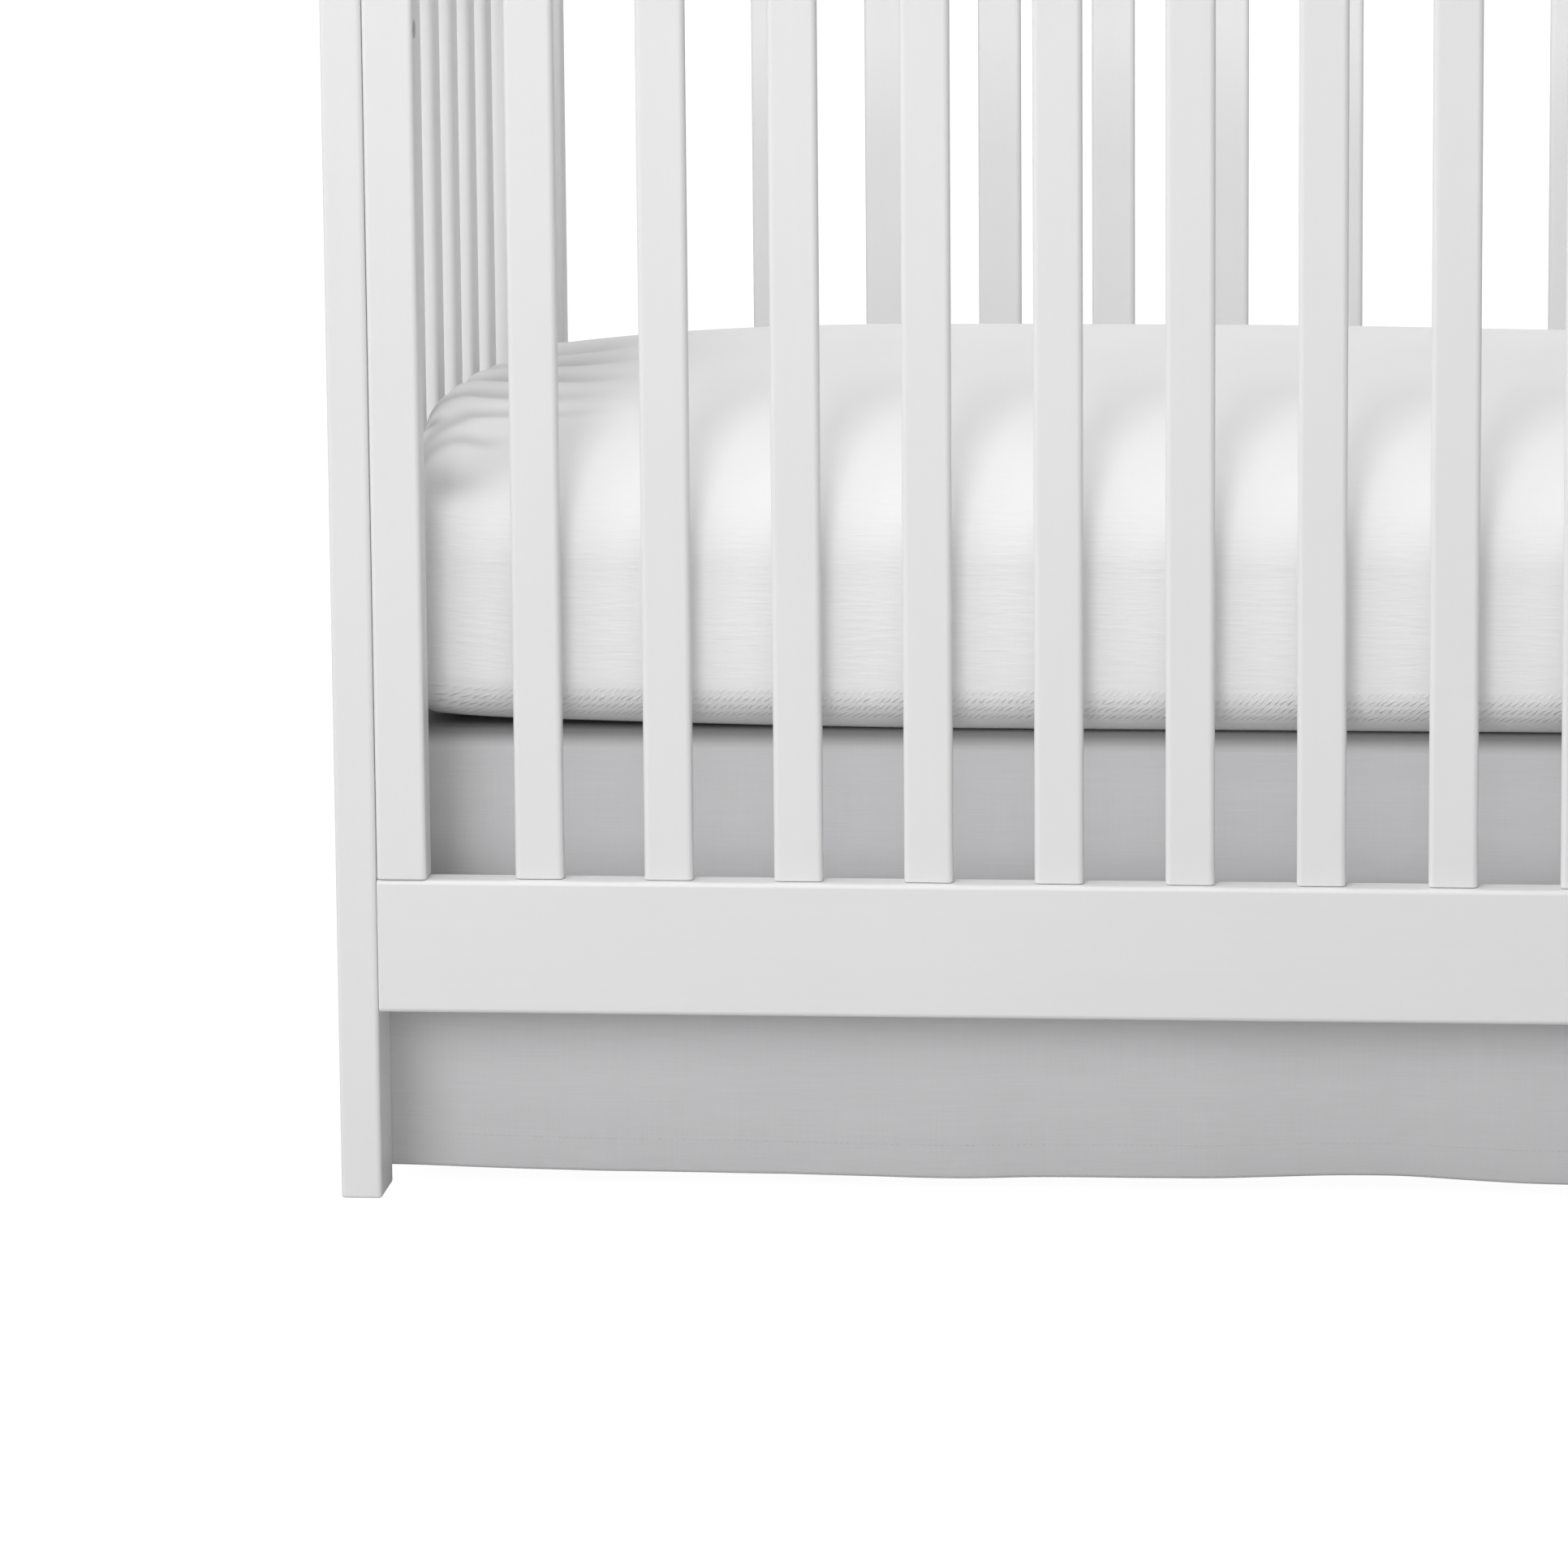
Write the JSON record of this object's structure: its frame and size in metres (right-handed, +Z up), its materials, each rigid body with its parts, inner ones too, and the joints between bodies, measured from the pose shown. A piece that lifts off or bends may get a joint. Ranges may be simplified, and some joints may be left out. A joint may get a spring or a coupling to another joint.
{
  "type": "bed skirt on a slatted crib with its mattress",
  "caption": "Flat-panel grey bed skirt with split corners, hung by its deck between the mattress and the support board of a white slatted crib.",
  "frame": {"origin": "on the floor under the middle of the crib", "axes": "+X along the crib to the right seen from the front, +Y to the back, +Z up; the front side faces -Y"},
  "size_m": [1.3802, 0.767, 0.89],
  "materials": {
    "painted_wood": "satin white paint over solid wood, rounded arrises",
    "support_board": "plain pale plywood, matt",
    "mattress_cover": "white woven cotton sheet drawn over the mattress, matt",
    "skirt_cloth": "mid grey plain-woven cotton, matt, with a folded hem"
  },
  "bodies": {
    "root": {"front_bottom_rail": "painted_wood", "front_top_rail": "painted_wood", "front_left_stile": "painted_wood", "front_right_stile": "painted_wood", "front_slat_01": "painted_wood", "front_slat_02": "painted_wood", "front_slat_03": "painted_wood", "front_slat_04": "painted_wood", "front_slat_05": "painted_wood", "front_slat_06": "painted_wood", "front_slat_07": "painted_wood", "front_slat_08": "painted_wood", "front_slat_09": "painted_wood", "front_slat_10": "painted_wood", "front_slat_11": "painted_wood", "front_slat_12": "painted_wood", "front_slat_13": "painted_wood", "front_slat_14": "painted_wood", "back_bottom_rail": "painted_wood", "back_top_rail": "painted_wood", "back_left_stile": "painted_wood", "back_right_stile": "painted_wood", "back_slat_01": "painted_wood", "back_slat_02": "painted_wood", "back_slat_03": "painted_wood", "back_slat_04": "painted_wood", "back_slat_05": "painted_wood", "back_slat_06": "painted_wood", "back_slat_07": "painted_wood", "back_slat_08": "painted_wood", "back_slat_09": "painted_wood", "back_slat_10": "painted_wood", "back_slat_11": "painted_wood", "back_slat_12": "painted_wood", "back_slat_13": "painted_wood", "back_slat_14": "painted_wood", "left_end_frame": "painted_wood", "left_slat_1": "painted_wood", "left_slat_2": "painted_wood", "left_slat_3": "painted_wood", "left_slat_4": "painted_wood", "left_slat_5": "painted_wood", "left_slat_6": "painted_wood", "left_slat_7": "painted_wood", "right_end_frame": "painted_wood", "right_slat_1": "painted_wood", "right_slat_2": "painted_wood", "right_slat_3": "painted_wood", "right_slat_4": "painted_wood", "right_slat_5": "painted_wood", "right_slat_6": "painted_wood", "right_slat_7": "painted_wood", "mattress_support": "support_board", "mattress": "mattress_cover", "skirt_deck": "skirt_cloth", "skirt_front_panel": "skirt_cloth", "skirt_back_panel": "skirt_cloth", "skirt_left_panel": "skirt_cloth", "skirt_right_panel": "skirt_cloth"}
  },
  "joints": []
}
